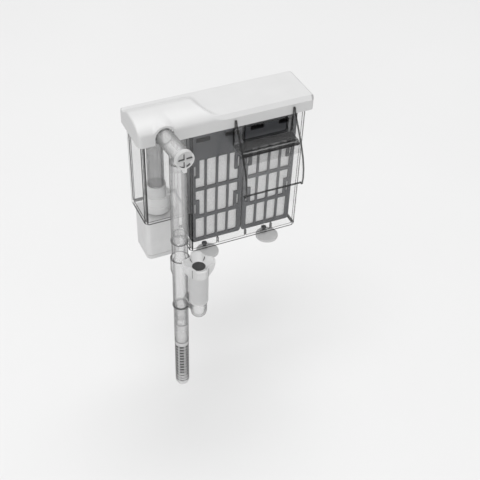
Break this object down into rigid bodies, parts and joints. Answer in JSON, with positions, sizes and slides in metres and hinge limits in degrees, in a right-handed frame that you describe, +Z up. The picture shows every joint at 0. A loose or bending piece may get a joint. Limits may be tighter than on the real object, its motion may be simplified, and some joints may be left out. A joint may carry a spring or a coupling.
{
  "type": "hang on back aquarium filter",
  "caption": "Clear hang on back aquarium filter with lift-off cover, two filter cartridges, bottom pump, waterfall outlet, surface skimmer and inlet tube.",
  "frame": {"origin": "middle of the flat underside of the outlet bridge, where it rests on the rim of the tank", "axes": "+X along the filter towards the media end, +Y away from the tank, +Z up; the tank glass stands below the origin"},
  "size_m": [0.185, 0.1174, 0.3408],
  "materials": {
    "clear_plastic": "clear gloss",
    "white_plastic": "satin",
    "pump_white": "matte",
    "frosted_white": "translucent satin",
    "slate_plastic": "satin",
    "filter_wool": "fibrous",
    "carbon": "granular",
    "rubber": "matte",
    "steel": "laminated",
    "copper": "wound wire",
    "ceramic": "polished",
    "magnet": "moulded ferrite"
  },
  "bodies": {
    "housing": {"housing": "clear_plastic", "waterfall_outlet": "clear_plastic", "motor_case": "pump_white", "motor_base": "pump_white", "cable_gland": "rubber", "stator_core": "steel", "coil": "copper", "rotor_well": "pump_white", "o_ring": "rubber", "volute_cup": "frosted_white", "riser_socket": "frosted_white", "riser_tube": "clear_plastic", "shaft": "ceramic", "lower_bush": "rubber", "upper_bush": "rubber", "elbow": "clear_plastic", "inlet_tube": "clear_plastic", "skimmer_body": "clear_plastic", "leveller_pivot_left": "slate_plastic", "leveller_pivot_right": "slate_plastic"},
    "cover": {"cover": "white_plastic"},
    "cartridge_left": {"cartridge_left_front_frame": "slate_plastic", "cartridge_left_back_frame": "slate_plastic", "cartridge_left_front_pad": "filter_wool", "cartridge_left_carbon": "carbon", "cartridge_left_back_pad": "filter_wool"},
    "cartridge_right": {"cartridge_right_front_frame": "slate_plastic", "cartridge_right_back_frame": "slate_plastic", "cartridge_right_front_pad": "filter_wool", "cartridge_right_carbon": "carbon", "cartridge_right_back_pad": "filter_wool"},
    "rotor": {"impeller": "white_plastic", "rotor_magnet": "magnet"},
    "flow_regulator": {"flow_knob": "frosted_white", "flow_shutter": "frosted_white"},
    "skimmer_float": {"skimmer_float": "frosted_white"},
    "extension": {"extension_tube": "clear_plastic"},
    "strainer": {"strainer": "clear_plastic"},
    "leveller_left": {"leveller_disc_left": "frosted_white"},
    "leveller_right": {"leveller_disc_right": "frosted_white"}
  },
  "joints": [
    {"name": "cover_lift", "type": "slide", "parent": "housing", "child": "cover", "axis": [0, 0, 1], "range_m": [0, 0.2]},
    {"name": "cartridge_left_lift", "type": "slide", "parent": "housing", "child": "cartridge_left", "axis": [0, 0, 1], "range_m": [0, 0.15]},
    {"name": "cartridge_right_lift", "type": "slide", "parent": "housing", "child": "cartridge_right", "axis": [0, 0, 1], "range_m": [0, 0.15]},
    {"name": "rotor_spin", "type": "hinge", "parent": "housing", "child": "rotor", "pos_m": [-0.107, 0.033, -0.08], "axis": [0, 0, 1], "continuous": true},
    {"name": "flow_knob_turn", "type": "hinge", "parent": "housing", "child": "flow_regulator", "pos_m": [-0.10147, -0.03026, 0.028], "axis": [0.0872, -0.9962, 0], "range_deg": [0, 90]},
    {"name": "float_rise", "type": "slide", "parent": "housing", "child": "skimmer_float", "axis": [0, 0, 1], "range_m": [0, 0.025]},
    {"name": "extension_slide", "type": "slide", "parent": "housing", "child": "extension", "axis": [0, 0, 1], "range_m": [-0.02, 0]},
    {"name": "strainer_pull", "type": "slide", "parent": "extension", "child": "strainer", "axis": [0, 0, -1], "range_m": [0, 0.03]},
    {"name": "leveller_left_turn", "type": "hinge", "parent": "housing", "child": "leveller_left", "pos_m": [-0.06, 0.0165, -0.1268], "axis": [0, 0, 1], "continuous": true},
    {"name": "leveller_right_turn", "type": "hinge", "parent": "housing", "child": "leveller_right", "pos_m": [0.0115, 0.0165, -0.1268], "axis": [0, 0, 1], "continuous": true}
  ],
  "couplings": [
    {"joint": "cartridge_left_lift", "follows": "cover_lift", "ratio": 0.75},
    {"joint": "cartridge_right_lift", "follows": "cover_lift", "ratio": 0.75}
  ]
}
